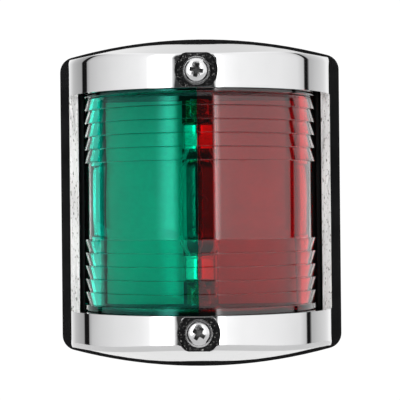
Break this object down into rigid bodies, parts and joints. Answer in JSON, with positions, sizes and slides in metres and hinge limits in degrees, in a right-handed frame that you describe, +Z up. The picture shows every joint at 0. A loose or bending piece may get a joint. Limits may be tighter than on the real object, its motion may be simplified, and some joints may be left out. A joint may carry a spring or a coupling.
{
  "type": "bicolour navigation light",
  "caption": "Surface-mounted bicolour boat navigation light: ribbed green and red lens in a polished steel cover on an arched black base, festoon bulb inside.",
  "frame": {"origin": "middle of the flat mounting face, on the back of the mounting gasket", "axes": "+Y out of the mounting face into the boat, so the light faces -Y; +Z up; +X to the viewer's right (red side)"},
  "size_m": [0.0726, 0.0417, 0.085],
  "materials": {
    "gasket_rubber": "matt black sealing rubber",
    "base_black": "black moulded plastic with a slight sheen",
    "reflector_white": "glossy white moulded plastic",
    "polished_steel": "mirror-polished stainless steel, cast, with uneven polish on the cut edges of the side rims",
    "screw_steel": "bright stainless steel",
    "contact_brass": "bright stamped brass",
    "bulb_clear": "clear blown glass",
    "cap_nickel": "nickel-plated brass",
    "filament_wire": "grey drawn wire",
    "lens_green_clear": "clear green moulded plastic with prism rings",
    "lens_red_clear": "clear red moulded plastic with prism rings"
  },
  "bodies": {
    "housing": {"mounting_gasket": "gasket_rubber", "base_plate": "base_black", "cable_grommet": "gasket_rubber", "reflector": "reflector_white", "contact_carrier": "base_black", "lens_gasket": "gasket_rubber", "terminal_bracket_upper": "contact_brass", "terminal_bracket_lower": "contact_brass", "bracket_rivets": "contact_brass", "terminal_washers": "screw_steel", "blade_rivet_upper": "contact_brass", "blade_rivet_lower": "contact_brass"},
    "cover_body": {"cover": "polished_steel", "screw_seal_upper": "gasket_rubber", "screw_seal_lower": "gasket_rubber"},
    "upper_cover_screw": {"cover_screw_upper": "screw_steel"},
    "lower_cover_screw": {"cover_screw_lower": "screw_steel"},
    "lens_body": {"lens_green": "lens_green_clear", "lens_red": "lens_red_clear"},
    "bulb": {"bulb_glass": "bulb_clear", "bulb_cap_upper": "cap_nickel", "bulb_cap_lower": "cap_nickel", "filament": "filament_wire", "filament_leads": "filament_wire"},
    "upper_blade": {"contact_blade_upper": "contact_brass"},
    "lower_blade": {"contact_blade_lower": "contact_brass"},
    "upper_terminal_screw": {"terminal_screw_upper": "contact_brass"},
    "lower_terminal_screw": {"terminal_screw_lower": "contact_brass"}
  },
  "joints": [
    {"name": "cover_lift", "type": "slide", "parent": "housing", "child": "cover_body", "axis": [0, -1, 0], "range_m": [0, 0.06]},
    {"name": "lens_lift", "type": "slide", "parent": "housing", "child": "lens_body", "axis": [0, -1, 0], "range_m": [0, 0.03]},
    {"name": "upper_cover_screw_turn", "type": "hinge", "parent": "cover_body", "child": "upper_cover_screw", "pos_m": [0, -0.0393, 0.0314], "axis": [0, -1, 0], "continuous": true},
    {"name": "lower_cover_screw_turn", "type": "hinge", "parent": "cover_body", "child": "lower_cover_screw", "pos_m": [0, -0.0393, -0.0314], "axis": [0, -1, 0], "continuous": true},
    {"name": "bulb_pull", "type": "slide", "parent": "housing", "child": "bulb", "axis": [0, -1, 0], "range_m": [0, 0.011]},
    {"name": "upper_blade_flex", "type": "hinge", "parent": "housing", "child": "upper_blade", "pos_m": [0, -0.0091, 0.01963], "axis": [-1, 0, 0], "range_deg": [0, 3], "stiffness_Nm_per_rad": 0.05},
    {"name": "lower_blade_flex", "type": "hinge", "parent": "housing", "child": "lower_blade", "pos_m": [0, -0.0091, -0.01963], "axis": [1, 0, 0], "range_deg": [0, 3], "stiffness_Nm_per_rad": 0.05},
    {"name": "upper_terminal_screw_turn", "type": "hinge", "parent": "housing", "child": "upper_terminal_screw", "pos_m": [0, -0.0094, 0.0233], "axis": [0, -1, 0], "continuous": true},
    {"name": "lower_terminal_screw_turn", "type": "hinge", "parent": "housing", "child": "lower_terminal_screw", "pos_m": [0, -0.0094, -0.0233], "axis": [0, -1, 0], "continuous": true}
  ],
  "couplings": [
    {"joint": "lens_lift", "follows": "cover_lift", "ratio": 0.5}
  ]
}
